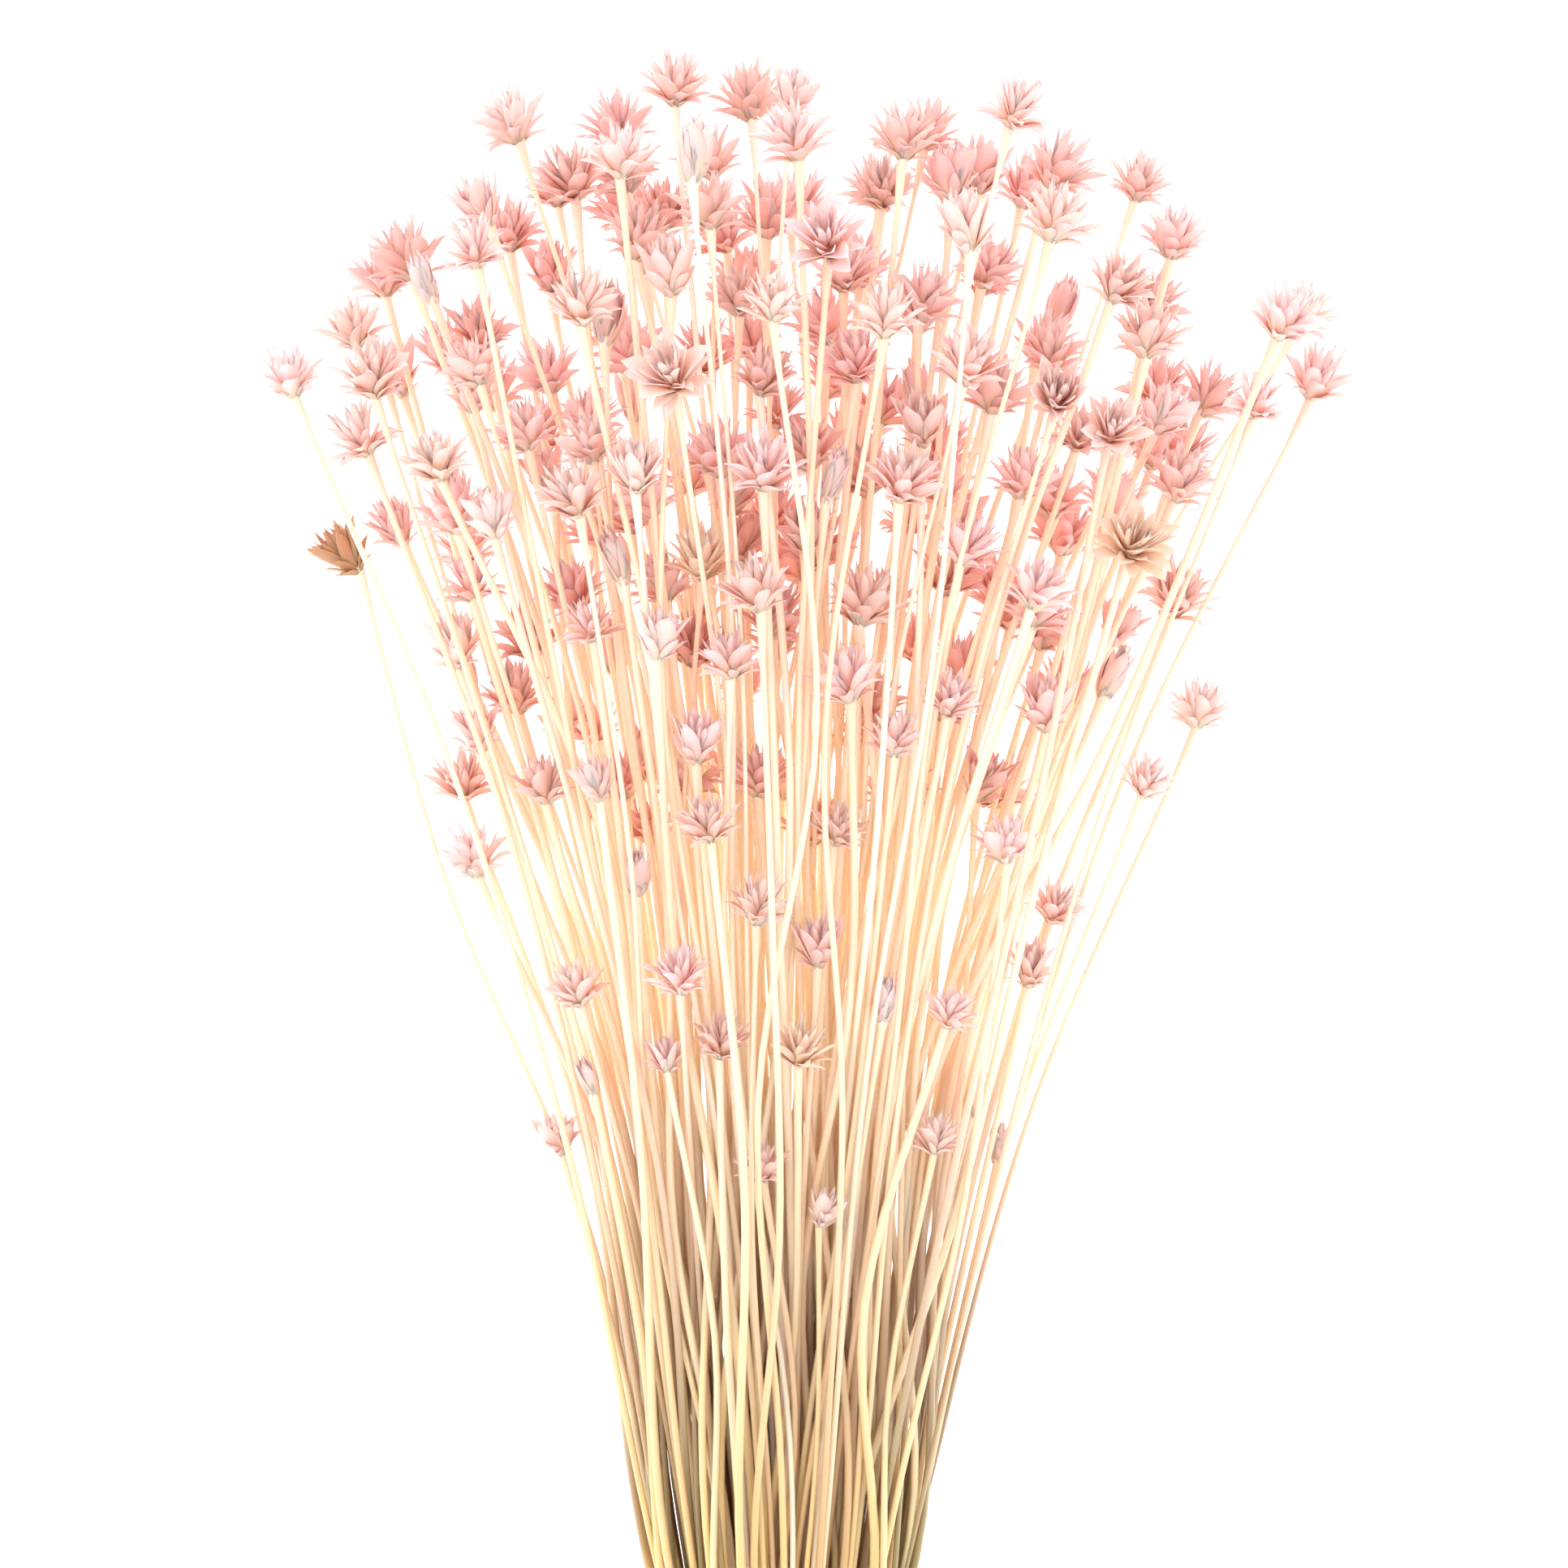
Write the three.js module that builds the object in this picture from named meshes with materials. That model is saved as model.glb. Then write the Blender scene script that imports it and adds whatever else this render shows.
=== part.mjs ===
// Dried hill flowers: one tied bunch, lying on its side with the heads towards +Y.
// Millimetres, +Z up. The origin is on the surface under the bunch, below the middle of the tie.
import * as THREE from 'three';

// The tie and the stems inside it
const TIE_SIDES = 20;
const TIE_WIDTH = 14;
const TIE_THICKNESS = 2.2;
const TIE_INNER = 22.2;
const TIE_HEIGHT = (TIE_INNER + TIE_THICKNESS) * Math.cos(Math.PI / TIE_SIDES);
const BUNDLE_PITCH = 4.72;
const BUNDLE_COUNT = 59;
const STEMS_A_BUNDLE = 4;
const HUB_RADIUS = 2.0;
const HUB_HALF_LENGTH = 3;
const HUB_FLARE = 0.4;
const HUB_FLARE_END = 100;

// The cut ends
const CUT_END = -75;
const CUT_STAGGER = 7;
const CUT_SPREAD_X = 1.14;
const CUT_SPREAD_Z = 1.06;
const CUT_SPACING = 1.6;

// The fan that the stems make above the tie, as half widths across and half heights up
const FAN_REACH = 385;
const FAN_TIED = 20;
const FAN_ACROSS = { slope: 0.164, curl: 44 };
const FAN_UP = { slope: 0.07, curl: 8 };
const FAN_TOP = 462;
const FAN_TOP_FALL_X = 0.0042;
const FAN_TOP_FALL_Z = 0.006;
const SOWN_FROM = 270;
const SOWN_SPACING = 17;

// Stems: half diameters from the cut end up to the neck below a head
const STEM_CUT = 1.05;
const STEM_LOW = 1.15;
const STEM_HIGH = 0.85;
const NECK = 1.35;
const STEM_GAP = 0.5;
const THINNEST = 0.7;
const THICKEST = 1.3;
const BEND = 3.5;
const TALL = 300;
const CLEAR_OF_SURFACE = 0.2;

// Heads: [distance from the axis, height above the neck] of the corners of both whorls
const PETALS = 5;
const HEAD_CENTRE = 7.5;
const HEAD_HALF_HEIGHT = 9;
const HEAD_HEIGHT = 17;
const FORMS = {
  star: { notch: [4.7, 4.4], tip: [10, 8.4], innerNotch: [2.1, 6.2], innerTip: [4.2, 14.6], heart: 7.2 },
  cup: { notch: [4.8, 6.2], tip: [7.4, 12.4], innerNotch: [2.2, 7.4], innerTip: [3.0, 14.8], heart: 8.2 },
  bud: { notch: [2.6, 6.6], tip: [3.1, 13.4], innerNotch: [1.2, 8.6], innerTip: [1.3, 16], heart: 9.6 },
  bent: { notch: [4.1, 3.6], tip: [9.8, 3.0], innerNotch: [2.2, 5.6], innerTip: [4.8, 13.6], heart: 6.8 },
};
const SHARE_OF_FORMS = [['star', 0.62], ['cup', 0.82], ['bent', 0.93], ['bud', 1]];
const SIZE_VARIES = [0.92, 1.15];
const SMALLEST = 0.7;
const SIZE_GROWS_FROM = 170;
const SIZE_GROWS_TO = 330;

// How far a head's draw may turn it from the way that its stem leans, and its roll
const TURN_ACROSS = 0.3;
const TURN_UP = [-0.15, 0.35];
const ROLL = 0.5;
const TILT_UP = 1.3;

// How the stems settle: levels apart, rounds of pushing, and how firmly a spot keeps its place
const LEVEL = 12;
const SPLIT = 40;
const ROUNDS = 260;
const FREE_ROUNDS = 80;
const PUSH = 0.45;
const LONGEST_MOVE = 2;
const KEPT = { placed: 0.2, sown: 0.02, along: 0.03 };
const ROOM_BESIDE_HEAD = 1.45;
const ASTRAY_ACROSS = 0.5;
const ASTRAY_UP = 0.35;

// Heads that make the outline and the front, as [across, along, form]; null lets the draw choose
const EDGE = [
  [-109, 344, 'cup'], [-98, 351, null], [-104, 374, null], [-126, 389, 'star'], [-114, 402, 'star'],
  [-106, 417, null], [-89, 412, 'bud'], [-94, 421, 'star'], [-73, 429, null], [-70, 456, 'star'],
  [-52, 440, null], [-41, 443, 'star'], [-25, 464, 'star'], [-11, 462, 'star'], [3, 460, 'cup'],
  [18, 438, 'star'], [33, 450, 'star'], [42, 440, null], [54, 443, 'cup'], [63, 458, 'bent'],
  [72, 444, 'star'], [93, 440, 'star'], [105, 425, 'star'], [101, 411, null], [122, 404, null],
  [133, 407, 'star'], [135, 390, 'star'], [120, 384, null], [100, 380, 'cup'], [98, 363, 'star'],
  [101, 334, 'star'], [107, 304, 'star'], [95, 285, 'star'], [86, 311, 'bud'], [71, 252, 'star'],
  [-65, 323, 'star'], [-78, 297, 'cup'], [-82, 285, 'star'], [-75, 265, 'star'],
];
const FRONT = [
  [-6, 406, null], [46, 425, 'cup'], [30, 403, 'star'], [-6, 365, 'star'], [-53, 358, 'star'],
  [-33, 364, 'cup'], [29, 362, 'star'], [-15, 316, 'star'], [-30, 321, 'cup'], [45, 306, 'star'],
  [30, 296, 'star'], [-48, 284, 'cup'], [-15, 274, 'star'], [57, 269, 'star'], [-9, 253, 'star'],
  [6, 242, 'cup'], [-30, 235, 'star'], [-28, 213, 'cup'], [-15, 218, 'star'], [3, 216, 'star'],
  [24, 226, 'bud'], [45, 225, 'star'], [63, 236, 'cup'], [40, 192, 'star'], [48, 201, 'bud'],
  [-6, 185, 'star'], [12, 173, 'cup'], [-49, 231, 'star'], [-56, 191, 'cup'], [-50, 206, 'bud'],
  [66, 334, 'star'], [-6, 334, 'star'], [-36, 259, 'bud'], [57, 188, 'bud'],
];
const FACING = [[84, 375, 'star'], [66, 383, 'cup'], [88, 346, 'star'], [9, 422, 'star'], [-28, 388, 'star']];
const RESTING = [
  [-84, 348, 'star'], [-50, 300, 'star'], [-16, 330, 'cup'], [22, 296, 'star'], [56, 338, 'star'],
  [88, 362, 'star'],
];
const BARE = [69, 228];

// Every draw comes from one seeded stream, so the bunch is the same each time
const SEED = 20611;
let state = SEED;

function draw(low, high) {
  state = (state * 48271) % 2147483647;
  return low + (high - low) * state / 2147483647;
}

// How far the fan has widened at a height, and how steeply it still does
function growth(law, y) {
  return law.slope * y + law.curl * (y / FAN_REACH) ** 3;
}

function steepness(law, y) {
  return law.slope + 3 * law.curl * y * y / FAN_REACH ** 3;
}

const halfWidth = (y) => FAN_TIED + growth(FAN_ACROSS, y);
const halfHeight = (y) => FAN_TIED + growth(FAN_UP, y);
const middle = (y) => TIE_HEIGHT + growth(FAN_UP, y);

// A head at x, y and z, with its size, its turn and the way that it faces
function makeHead(x, y, z, form, tiltUp = 0) {
  const pick = draw(0, 1);
  const chosen = form ?? SHARE_OF_FORMS.find(([, upTo]) => pick < upTo)[0];
  const grown = Math.min(1, Math.max(0, (y - SIZE_GROWS_FROM) / (SIZE_GROWS_TO - SIZE_GROWS_FROM)));
  const size = (SMALLEST + (1 - SMALLEST) * grown) * draw(...SIZE_VARIES);
  const across = x / halfWidth(y);
  const up = (z - middle(y)) / halfHeight(y);
  const facing = new THREE.Vector3(
    across * steepness(FAN_ACROSS, y) + draw(-TURN_ACROSS, TURN_ACROSS),
    1,
    Math.max(up, -0.1) * steepness(FAN_UP, y) + draw(...TURN_UP) + tiltUp,
  ).normalize();
  return {
    centre: new THREE.Vector3(x, y, z), form: chosen, size, facing, across, up,
    roll: draw(-ROLL, ROLL), thick: draw(THINNEST, THICKEST),
    bendX: draw(-BEND, BEND), bendZ: draw(-BEND, BEND),
    radius: FORMS[chosen].tip[0] * size, placed: true, bare: false,
  };
}

// Heads on the outline lie at half height, front ones on the upper side, resting ones on the surface
function placedHeads() {
  const heads = [];
  for (const [x, y, form] of EDGE) {
    heads.push(makeHead(x, y, middle(y) + draw(-0.35, 0.35) * halfHeight(y), form));
  }
  const upperSide = (x, y) => {
    const across = x / halfWidth(y);
    return middle(y) + halfHeight(y) * Math.sqrt(Math.max(0.05, 1 - across * across)) - 4;
  };
  for (const [x, y, form] of FRONT) heads.push(makeHead(x, y, upperSide(x, y), form));
  for (const [x, y, form] of FACING) heads.push(makeHead(x, y, upperSide(x, y), form, TILT_UP));
  for (const [x, y, form] of RESTING) {
    heads.push({ ...makeHead(x, y, FORMS[form].tip[0], form), resting: true });
  }
  const bare = makeHead(BARE[0], BARE[1], upperSide(...BARE), 'bud');
  heads.push({ ...bare, bare: true, radius: STEM_HIGH, size: 1 });
  return heads;
}

// The other heads are sown through the thickness of the fan, no two closer than the spacing
function sowHeads(heads, count) {
  while (heads.length < count) {
    const across = draw(-1, 1);
    const up = draw(-1, 1);
    const share = draw(0, 1);
    if (across * across + up * up > 1) continue;
    const top = FAN_TOP - FAN_TOP_FALL_X * (across * halfWidth(FAN_REACH)) ** 2
      - FAN_TOP_FALL_Z * (up * halfHeight(FAN_REACH)) ** 2;
    const y = SOWN_FROM + (top - SOWN_FROM) * share ** 0.8;
    const x = across * (halfWidth(y) - 9);
    const z = middle(y) + up * (halfHeight(y) - 7);
    const spot = new THREE.Vector3(x, y, z);
    if (heads.some((other) => other.centre.distanceTo(spot) < SOWN_SPACING)) continue;
    heads.push({ ...makeHead(x, y, z, null), placed: false });
  }
  return heads;
}

// Middles of the stem bundles inside the tie, column by column
function bundleMiddles() {
  const middles = [];
  for (let column = -6; column <= 6; column++) {
    for (let row = -6; row <= 6; row++) {
      const x = column * BUNDLE_PITCH * Math.sqrt(3) / 2;
      const z = (row + (column % 2 === 0 ? 0 : 0.5)) * BUNDLE_PITCH;
      middles.push({ x, z, far: Math.hypot(x - 0.3, z - 0.2), column });
    }
  }
  middles.sort((one, other) => one.far - other.far);
  return middles.slice(0, BUNDLE_COUNT).sort((one, other) => one.column - other.column || one.z - other.z);
}

// Each bundle takes four heads that lie its own way. Most stems stray little, and a few cross far over
function gather(heads) {
  const middles = bundleMiddles();
  const order = heads.map((head) => ({
    head,
    aimX: head.across + ASTRAY_ACROSS * draw(-1, 1) ** 3,
    aimZ: head.up + ASTRAY_UP * draw(-1, 1) ** 3,
  }));
  order.sort((one, other) => one.aimX - other.aimX);
  const bundles = [];
  let taken = 0;
  while (bundles.length < middles.length) {
    const column = middles.filter((spot) => spot.column === middles[bundles.length].column);
    const share = order.slice(taken, taken + column.length * STEMS_A_BUNDLE);
    taken += share.length;
    share.sort((one, other) => one.aimZ - other.aimZ);
    column.forEach((spot, index) => {
      const four = share.slice(index * STEMS_A_BUNDLE, (index + 1) * STEMS_A_BUNDLE);
      bundles.push({ x: spot.x, z: spot.z, stems: four.map((entry) => entry.head) });
    });
  }
  return bundles;
}

// A point of a stem's route, on the fan's own law of growth between its foot and its neck
function routePoint(foot, neck, y) {
  const shareX = growth(FAN_ACROSS, y) / growth(FAN_ACROSS, neck.y);
  const shareZ = growth(FAN_UP, y) / growth(FAN_UP, neck.y);
  return [foot[0] + (neck.x - foot[0]) * shareX, y, foot[2] + (neck.z - foot[2]) * shareZ];
}

const cornerAngle = (corner) => Math.PI / 2 * corner + Math.PI / 4;

// Each stem leaves its bundle by the corner that lies its own way
function seatCorners(stems, foot) {
  const wayOut = stems.map((stem) => routePoint(foot, stem.neck, SPLIT));
  const gain = (stem, corner) => (
    wayOut[stem][0] * Math.cos(cornerAngle(corner)) + wayOut[stem][2] * Math.sin(cornerAngle(corner))
  );
  const seats = [0, 1, 2, 3];
  for (let again = 0; again < 3; again++) {
    for (let one = 0; one < 4; one++) {
      for (let other = one + 1; other < 4; other++) {
        const now = gain(one, seats[one]) + gain(other, seats[other]);
        const swapped = gain(one, seats[other]) + gain(other, seats[one]);
        if (swapped > now) [seats[one], seats[other]] = [seats[other], seats[one]];
      }
    }
  }
  return seats;
}

// A stem's route: its foot in the hub, points on the fan's law, and the neck under its head
function layRoutes(bundles) {
  const stems = [];
  bundles.forEach((bundle, index) => {
    for (const stem of bundle.stems) {
      stem.neck = stem.centre.clone().addScaledVector(stem.facing, -HEAD_CENTRE * stem.size);
    }
    const seats = seatCorners(bundle.stems, [bundle.x, HUB_HALF_LENGTH, TIE_HEIGHT + bundle.z]);
    bundle.stems.forEach((stem, seat) => {
      const angle = cornerAngle(seats[seat]);
      const inset = HUB_RADIUS * Math.SQRT2 / 3;
      const foot = [
        bundle.x + inset * Math.cos(angle), HUB_HALF_LENGTH, TIE_HEIGHT + bundle.z + inset * Math.sin(angle),
      ];
      const spans = stem.neck.y > TALL ? 4 : 3;
      const route = [foot];
      for (let span = 1; span <= spans; span++) {
        const y = foot[1] + (stem.neck.y - foot[1]) * span / spans;
        const swing = Math.sin(Math.PI * span / spans);
        const point = routePoint(foot, stem.neck, y);
        route.push([point[0] + stem.bendX * swing, y, point[2] + stem.bendZ * swing]);
      }
      const rest = route.map((point) => [...point]);
      stems.push({ ...stem, bundle: index, corner: seats[seat], angle, route, rest });
    });
  });
  return stems;
}

// Where a stem crosses a height: its place, its slope, and the route points it hangs between
function crossing(stem, y) {
  const last = stem.route.length - 1;
  const step = (stem.route[last][1] - stem.route[0][1]) / last;
  const index = Math.min(last - 1, Math.max(0, Math.floor((y - stem.route[0][1]) / step)));
  const [from, to] = [stem.route[index], stem.route[index + 1]];
  const share = (y - from[1]) / step;
  return {
    stem, index, share,
    x: from[0] + (to[0] - from[0]) * share, z: from[2] + (to[2] - from[2]) * share,
    slopeX: (to[0] - from[0]) / step, slopeZ: (to[2] - from[2]) / step,
  };
}

function stemRadius(stem, y) {
  return (STEM_LOW + (STEM_HIGH - STEM_LOW) * Math.min(1, Math.max(0, y / FAN_REACH))) * stem.thick;
}

// The room that a stem needs: its section is wider where it leaves the hub
function room(stem, y) {
  return stemRadius(stem, y) + HUB_FLARE * Math.max(0, 1 - y / HUB_FLARE_END);
}

// Moves a spot by way of the route points that it hangs between; a stem's foot in the hub stays
function push(spot, x, z) {
  const { stem, index, share } = spot;
  const footed = index === 0;
  const weight = PUSH / (footed ? Math.max(share, 0.3) ** 2 : (1 - share) ** 2 + share ** 2);
  const before = footed ? 0 : (1 - share) * weight;
  const after = share * weight;
  stem.moves[index][0] += before * x;
  stem.moves[index][1] += before * z;
  stem.moves[index + 1][0] += after * x;
  stem.moves[index + 1][1] += after * z;
}

// Two spots that stand closer than the distance they need move apart, half each
function moveApart(one, other, need, slack) {
  let x = other.x - one.x;
  let z = other.z - one.z;
  const slopeX = other.slopeX - one.slopeX;
  const slopeZ = other.slopeZ - one.slopeZ;
  const closest = -(x * slopeX + z * slopeZ) / (slopeX * slopeX + slopeZ * slopeZ + 1e-9);
  const along = Math.min(slack, Math.max(-slack, closest));
  x += slopeX * along;
  z += slopeZ * along;
  const apart = Math.sqrt(x * x + z * z);
  if (apart >= need) return;
  const half = (need - apart) / 2 / Math.max(apart, 0.05);
  push(one, -x * half, -z * half);
  push(other, x * half, z * half);
}

const splitHeight = (one, other) => Math.min(one.route[1][1], other.route[1][1]);

// Stems of one bundle part the way that their corners lie, so they don't cross above the hub
function splitBundle(one, other) {
  const y = splitHeight(one, other);
  const from = crossing(one, y);
  const to = crossing(other, y);
  const wayX = Math.cos(other.angle) - Math.cos(one.angle);
  const wayZ = Math.sin(other.angle) - Math.sin(one.angle);
  const length = Math.sqrt(wayX * wayX + wayZ * wayZ);
  const apart = ((to.x - from.x) * wayX + (to.z - from.z) * wayZ) / length;
  const half = Math.max(0, room(one, y) + room(other, y) + STEM_GAP - apart) / 2 / length;
  push(from, -wayX * half, -wayZ * half);
  push(to, wayX * half, wayZ * half);
}

// Stems and heads of different stems push each other apart until nothing crosses
function settle(stems) {
  for (let round = 0; round < ROUNDS; round++) {
    for (const stem of stems) stem.moves = stem.route.map(() => [0, 0]);
    for (let y = 2 * LEVEL; y < FAN_TOP; y += LEVEL) {
      const spots = stems.filter((stem) => stem.route.at(-1)[1] > y).map((stem) => crossing(stem, y));
      for (let i = 0; i < spots.length; i++) {
        for (let j = i + 1; j < spots.length; j++) {
          const [one, other] = [spots[i].stem, spots[j].stem];
          if (one.bundle === other.bundle && y < splitHeight(one, other)) continue;
          const need = room(one, y) + room(other, y) + STEM_GAP;
          moveApart(spots[i], spots[j], need, LEVEL / 2);
        }
      }
    }
    for (const [i, one] of stems.entries()) {
      const head = headSpot(one);
      for (const [j, other] of stems.entries()) {
        if (i === j) continue;
        if (j > i && one.bundle === other.bundle) splitBundle(one, other);
        if (one.bare) continue;
        const top = other.route.at(-1)[1];
        const y = Math.min(head.y, top);
        if (head.y - y < HEAD_HALF_HEIGHT) {
          const level = Math.sqrt(1 - ((head.y - y) / HEAD_HALF_HEIGHT) ** 2);
          const need = one.radius * level + stemRadius(other, y) * ROOM_BESIDE_HEAD + STEM_GAP;
          moveApart(head, crossing(other, y), need, 1);
        }
        if (j > i && !other.bare) {
          const next = headSpot(other);
          const apart = Math.abs(next.y - head.y) / HEAD_HEIGHT;
          if (apart < 1) {
            const need = (one.radius + other.radius + STEM_GAP) * Math.sqrt(1 - apart * apart);
            moveApart(head, next, need, 0);
          }
        }
      }
    }
    const hold = round < ROUNDS - FREE_ROUNDS ? 1 : 0;
    for (const stem of stems) moveRoute(stem, hold);
  }
}

// The middle of a stem's head, which hangs on its neck
function headSpot(stem) {
  const neck = stem.route.at(-1);
  const reach = HEAD_CENTRE * stem.size;
  return {
    stem, index: stem.route.length - 2, share: 1, slopeX: 0, slopeZ: 0,
    x: neck[0] + stem.facing.x * reach,
    y: neck[1] + stem.facing.y * reach,
    z: neck[2] + stem.facing.z * reach,
  };
}

// One round's move for a stem's route, drawn back towards its resting place and kept off the surface
function moveRoute(stem, hold) {
  const last = stem.route.length - 1;
  for (let index = 1; index <= last; index++) {
    const point = stem.route[index];
    const rest = stem.rest[index];
    const neckPull = stem.placed ? KEPT.placed : KEPT.sown;
    const pull = hold * (index === last ? neckPull : KEPT.along);
    for (const [axis, move] of [[0, 0], [2, 1]]) {
      const step = Math.min(LONGEST_MOVE, Math.max(-LONGEST_MOVE, stem.moves[index][move]));
      point[axis] += step + (rest[axis] - point[axis]) * pull;
    }
    const lowest = index === last && !stem.bare
      ? stem.radius * 0.9 - stem.facing.z * HEAD_CENTRE * stem.size
      : stemRadius(stem, point[1]) + 0.3;
    point[2] = Math.max(point[2], lowest);
  }
}

// Three corners of a stem's section, the first one towards the middle of its bundle
function section(points, centre, radius, angle, along) {
  const across = new THREE.Vector3(1, 0, 0).addScaledVector(along, -along.x).normalize();
  const up = new THREE.Vector3().crossVectors(across, along);
  const ring = [];
  for (let corner = 0; corner < 3; corner++) {
    const turn = angle + Math.PI + corner * Math.PI * 2 / 3;
    ring.push(points.push(centre.clone()
      .addScaledVector(across, radius * Math.cos(turn))
      .addScaledVector(up, radius * Math.sin(turn))) - 1);
  }
  return ring;
}

// A wall between two rings that have the same number of corners
function joinRings(faces, ring, next) {
  ring.forEach((corner, index) => {
    const after = (index + 1) % ring.length;
    faces.push([corner, ring[after], next[after]], [corner, next[after], next[index]]);
  });
}

// The corners of one head, whorl by whorl: outer notches and tips, inner tips and notches, the heart
function headCorners(stem) {
  const form = FORMS[stem.form];
  const base = new THREE.Vector3(...stem.route.at(-1));
  const across = new THREE.Vector3(1, 0, 0).addScaledVector(stem.facing, -stem.facing.x).normalize();
  const up = new THREE.Vector3().crossVectors(across, stem.facing);
  let jitter = SEED + Math.round(base.y * 1000);
  const vary = (amount) => {
    jitter = (jitter * 48271) % 2147483647;
    return 1 + amount * (2 * jitter / 2147483647 - 1);
  };
  const place = ([distance, height], turn, amount) => {
    const out = distance * stem.size * vary(amount);
    return base.clone()
      .addScaledVector(stem.facing, height * stem.size * vary(amount))
      .addScaledVector(across, out * Math.cos(turn))
      .addScaledVector(up, out * Math.sin(turn));
  };
  const outer = [];
  const inner = [];
  for (let index = 0; index < 2 * PETALS; index++) {
    const turn = stem.angle + Math.PI + stem.roll + index * Math.PI / PETALS;
    const tip = index % 2 === 1;
    outer.push(place(tip ? form.tip : form.notch, turn, tip ? 0.08 : 0.04));
    inner.push(place(tip ? form.innerNotch : form.innerTip, turn, tip ? 0 : 0.08));
  }
  return { outer, inner, heart: place([0, form.heart], 0, 0) };
}

// Resting heads touch the surface with one tip, and the other low ones stay just off it
function seatHeads(stems) {
  for (const stem of stems.filter((each) => !each.bare)) {
    const neck = stem.route.at(-1);
    const { outer, inner } = headCorners(stem);
    const lowest = Math.min(...outer.map((corner) => corner.z), ...inner.map((corner) => corner.z));
    if (stem.resting) neck[2] -= lowest;
    else neck[2] += Math.max(0, CLEAR_OF_SURFACE - lowest);
  }
}

// One head on the three corners of its neck
function addHead(points, faces, neck, stem) {
  const head = headCorners(stem);
  const outer = head.outer.map((corner) => points.push(corner) - 1);
  const inner = head.inner.map((corner) => points.push(corner) - 1);
  const heart = points.push(head.heart) - 1;
  bridge(faces, neck, outer);
  outer.forEach((corner, index) => {
    const after = (index + 1) % outer.length;
    if (index % 2 === 1) {
      faces.push([corner, outer[after], inner[index]], [outer[after], inner[after], inner[index]]);
    } else {
      faces.push([corner, outer[after], inner[after]], [corner, inner[after], inner[index]]);
    }
    faces.push([inner[index], inner[after], heart]);
  });
}

// The neck's three corners fan out to a ring that has more corners
function bridge(faces, few, many) {
  const share = many.length / few.length;
  few.forEach((corner, index) => {
    const after = (index + 1) % few.length;
    const start = Math.round((index - 0.5) * share);
    const end = Math.round((index + 0.5) * share);
    for (let step = start; step < end; step++) {
      const wrap = (value) => (value + many.length) % many.length;
      faces.push([corner, many[wrap(step + 1)], many[wrap(step)]]);
    }
    faces.push([corner, few[after], many[end % many.length]]);
  });
}

// One bundle: four stems pressed into one hub inside the tie, free above and below it
function bundleGeometry(bundle, stems) {
  const points = [];
  const faces = [];
  const hub = [-1, 1].map((side) => {
    const centre = new THREE.Vector3(bundle.x, side * HUB_HALF_LENGTH, TIE_HEIGHT + bundle.z);
    const corners = [0, 1, 2, 3].map((corner) => {
      const turn = Math.PI / 2 * corner;
      const offset = new THREE.Vector3(HUB_RADIUS * Math.cos(turn), 0, HUB_RADIUS * Math.sin(turn));
      return points.push(centre.clone().add(offset)) - 1;
    });
    return { centre: points.push(centre) - 1, corners };
  });
  joinRings(faces, hub[0].corners, hub[1].corners);
  for (const stem of stems) {
    const rootRing = (side) => [
      hub[side].centre, hub[side].corners[stem.corner], hub[side].corners[(stem.corner + 1) % 4],
    ];
    let ring = rootRing(1);
    stem.route.slice(1).forEach((spot, index) => {
      const neck = index === stem.route.length - 2;
      const centre = new THREE.Vector3(...spot);
      const before = new THREE.Vector3(...stem.route[index]);
      const along = centre.clone().sub(before).normalize();
      if (neck && !stem.bare) along.add(stem.facing).normalize();
      const radius = neck && !stem.bare ? NECK * stem.size : stemRadius(stem, spot[1]);
      const next = section(points, centre, radius, stem.angle, along);
      joinRings(faces, ring, next);
      ring = next;
    });
    if (stem.bare) faces.push([...ring]);
    else addHead(points, faces, ring, stem);
    const end = new THREE.Vector3(
      bundle.x * CUT_SPREAD_X + CUT_SPACING * Math.cos(stem.angle), CUT_END + stem.cut,
      TIE_HEIGHT + bundle.z * CUT_SPREAD_Z + CUT_SPACING * Math.sin(stem.angle),
    );
    const low = section(points, end, STEM_CUT * stem.thick, stem.angle, new THREE.Vector3(0, 1, 0));
    joinRings(faces, low, rootRing(0));
    faces.push([...low].reverse());
  }
  return closedGeometry(points, faces);
}

// Faces wind outwards: the whole body is turned over where its volume comes out negative
function closedGeometry(points, faces) {
  const volume = faces.reduce((sum, [a, b, c]) => (
    sum + points[a].dot(new THREE.Vector3().crossVectors(points[b], points[c]))
  ), 0);
  const geometry = new THREE.BufferGeometry();
  const places = points.flatMap((p) => [p.x, p.y, p.z]);
  geometry.setAttribute('position', new THREE.Float32BufferAttribute(places, 3));
  geometry.setIndex(faces.flatMap((face) => (volume < 0 ? [...face].reverse() : face)));
  geometry.computeVertexNormals();
  return geometry;
}

// The tie is a wound ring with rounded edges and a flat under it
function tieGeometry() {
  const inner = TIE_INNER;
  const outer = TIE_INNER + TIE_THICKNESS;
  const half = TIE_WIDTH / 2;
  const profile = [
    [inner, -half], [outer - 0.8, -half], [outer, -half + 1.2], [outer, half - 1.2],
    [outer - 0.8, half], [inner, half], [inner, -half],
  ].map(([x, y]) => new THREE.Vector2(x, y));
  const geometry = new THREE.LatheGeometry(profile, TIE_SIDES, Math.PI / 2 - Math.PI / TIE_SIDES);
  return geometry.translate(0, 0, TIE_HEIGHT);
}

const heads = sowHeads(placedHeads(), BUNDLE_COUNT * STEMS_A_BUNDLE);
const bundles = gather(heads);
const stems = layRoutes(bundles);
for (const stem of stems) stem.cut = draw(-CUT_STAGGER, CUT_STAGGER);
settle(stems);
seatHeads(stems);

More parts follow.
